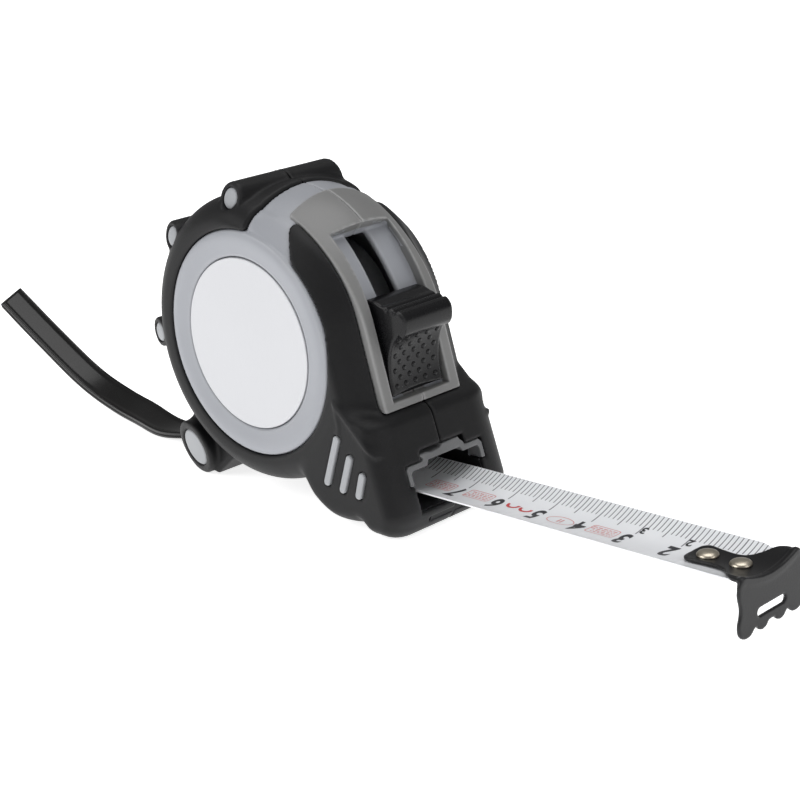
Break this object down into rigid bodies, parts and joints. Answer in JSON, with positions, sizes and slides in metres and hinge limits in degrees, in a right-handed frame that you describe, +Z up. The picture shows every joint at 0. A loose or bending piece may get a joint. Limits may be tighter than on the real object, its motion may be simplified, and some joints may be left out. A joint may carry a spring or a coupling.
{
  "type": "tape measure",
  "caption": "Pocket tape measure: round two-shell case with rubber grip, curved steel blade with a riveted end hook, thumb lock on a curved track, wrist strap.",
  "frame": {"origin": "on the base plane, under the middle of the whole tool from the hook face to the strap tip", "axes": "+X the way the blade pulls out, +Y the tool's left, +Z up"},
  "size_m": [0.218, 0.034, 0.064],
  "materials": {
    "shell": "satin silver-grey moulded ABS",
    "grip": "matt black soft-touch rubber",
    "label": "pale silver printed film",
    "screw": "black oxide steel",
    "bracket": "grey coated sheet",
    "steel": "bright steel",
    "strap": "glossy black soft PVC",
    "button": "semi-gloss black ABS",
    "nylon": "natural nylon",
    "blade": "white lacquered spring steel with printed marks",
    "hook": "semi-gloss black coated steel",
    "rivet": "warm nickel"
  },
  "bodies": {
    "case": {"right_shell": "shell", "right_grip": "grip", "right_label": "label", "bar_cap_right_1": "shell", "nose_stripe_right_1": "shell", "bar_cap_right_2": "shell", "nose_stripe_right_2": "shell", "bar_cap_right_3": "shell", "nose_stripe_right_3": "shell", "lug_cap_right": "shell", "left_shell": "shell", "left_grip": "grip", "left_label": "label", "bar_cap_left_1": "shell", "nose_stripe_left_1": "shell", "bar_cap_left_2": "shell", "nose_stripe_left_2": "shell", "bar_cap_left_3": "shell", "nose_stripe_left_3": "shell", "lug_cap_left": "shell", "case_screw_1": "screw", "case_screw_2": "screw", "case_screw_3": "screw", "mouth_frame": "bracket", "mouth_bumper": "grip", "spring_arbor": "steel", "strap_pin": "steel"},
    "strap": {"wrist_strap": "strap"},
    "lock": {"lock_button": "button", "lock_carrier": "button", "brake_lever": "nylon", "brake_shoe": "grip"},
    "reel": {"reel_drum": "nylon", "reel_cover": "nylon", "power_spring": "steel", "blade_coil": "blade"},
    "tape": {"blade": "blade", "hook_rivet_1": "rivet", "hook_rivet_2": "rivet"},
    "hook": {"end_hook": "hook"}
  },
  "joints": [
    {"name": "blade_slide", "type": "slide", "parent": "case", "child": "tape", "axis": [1, 0, 0], "range_m": [-0.069, 0], "deforming": ["blade"]},
    {"name": "hook_play", "type": "slide", "parent": "tape", "child": "hook", "axis": [0.9997, 0, 0.0262], "range_m": [-0.0008, 0]},
    {"name": "reel_spin", "type": "hinge", "parent": "case", "child": "reel", "pos_m": [-0.00186, 0, 0.0332], "axis": [0, 1, 0], "range_deg": [-1, 227]},
    {"name": "lock_slide", "type": "hinge", "parent": "case", "child": "lock", "pos_m": [-0.01876, 0, 0.0213], "axis": [0, -1, 0], "range_deg": [0, 15.5]},
    {"name": "strap_swing", "type": "hinge", "parent": "case", "child": "strap", "pos_m": [-0.02458, 0, 0.00576], "axis": [0, 1, 0], "range_deg": [0, 60]}
  ],
  "couplings": [
    {"joint": "reel_spin", "follows": "blade_slide", "rad_per_m": -57.143}
  ]
}
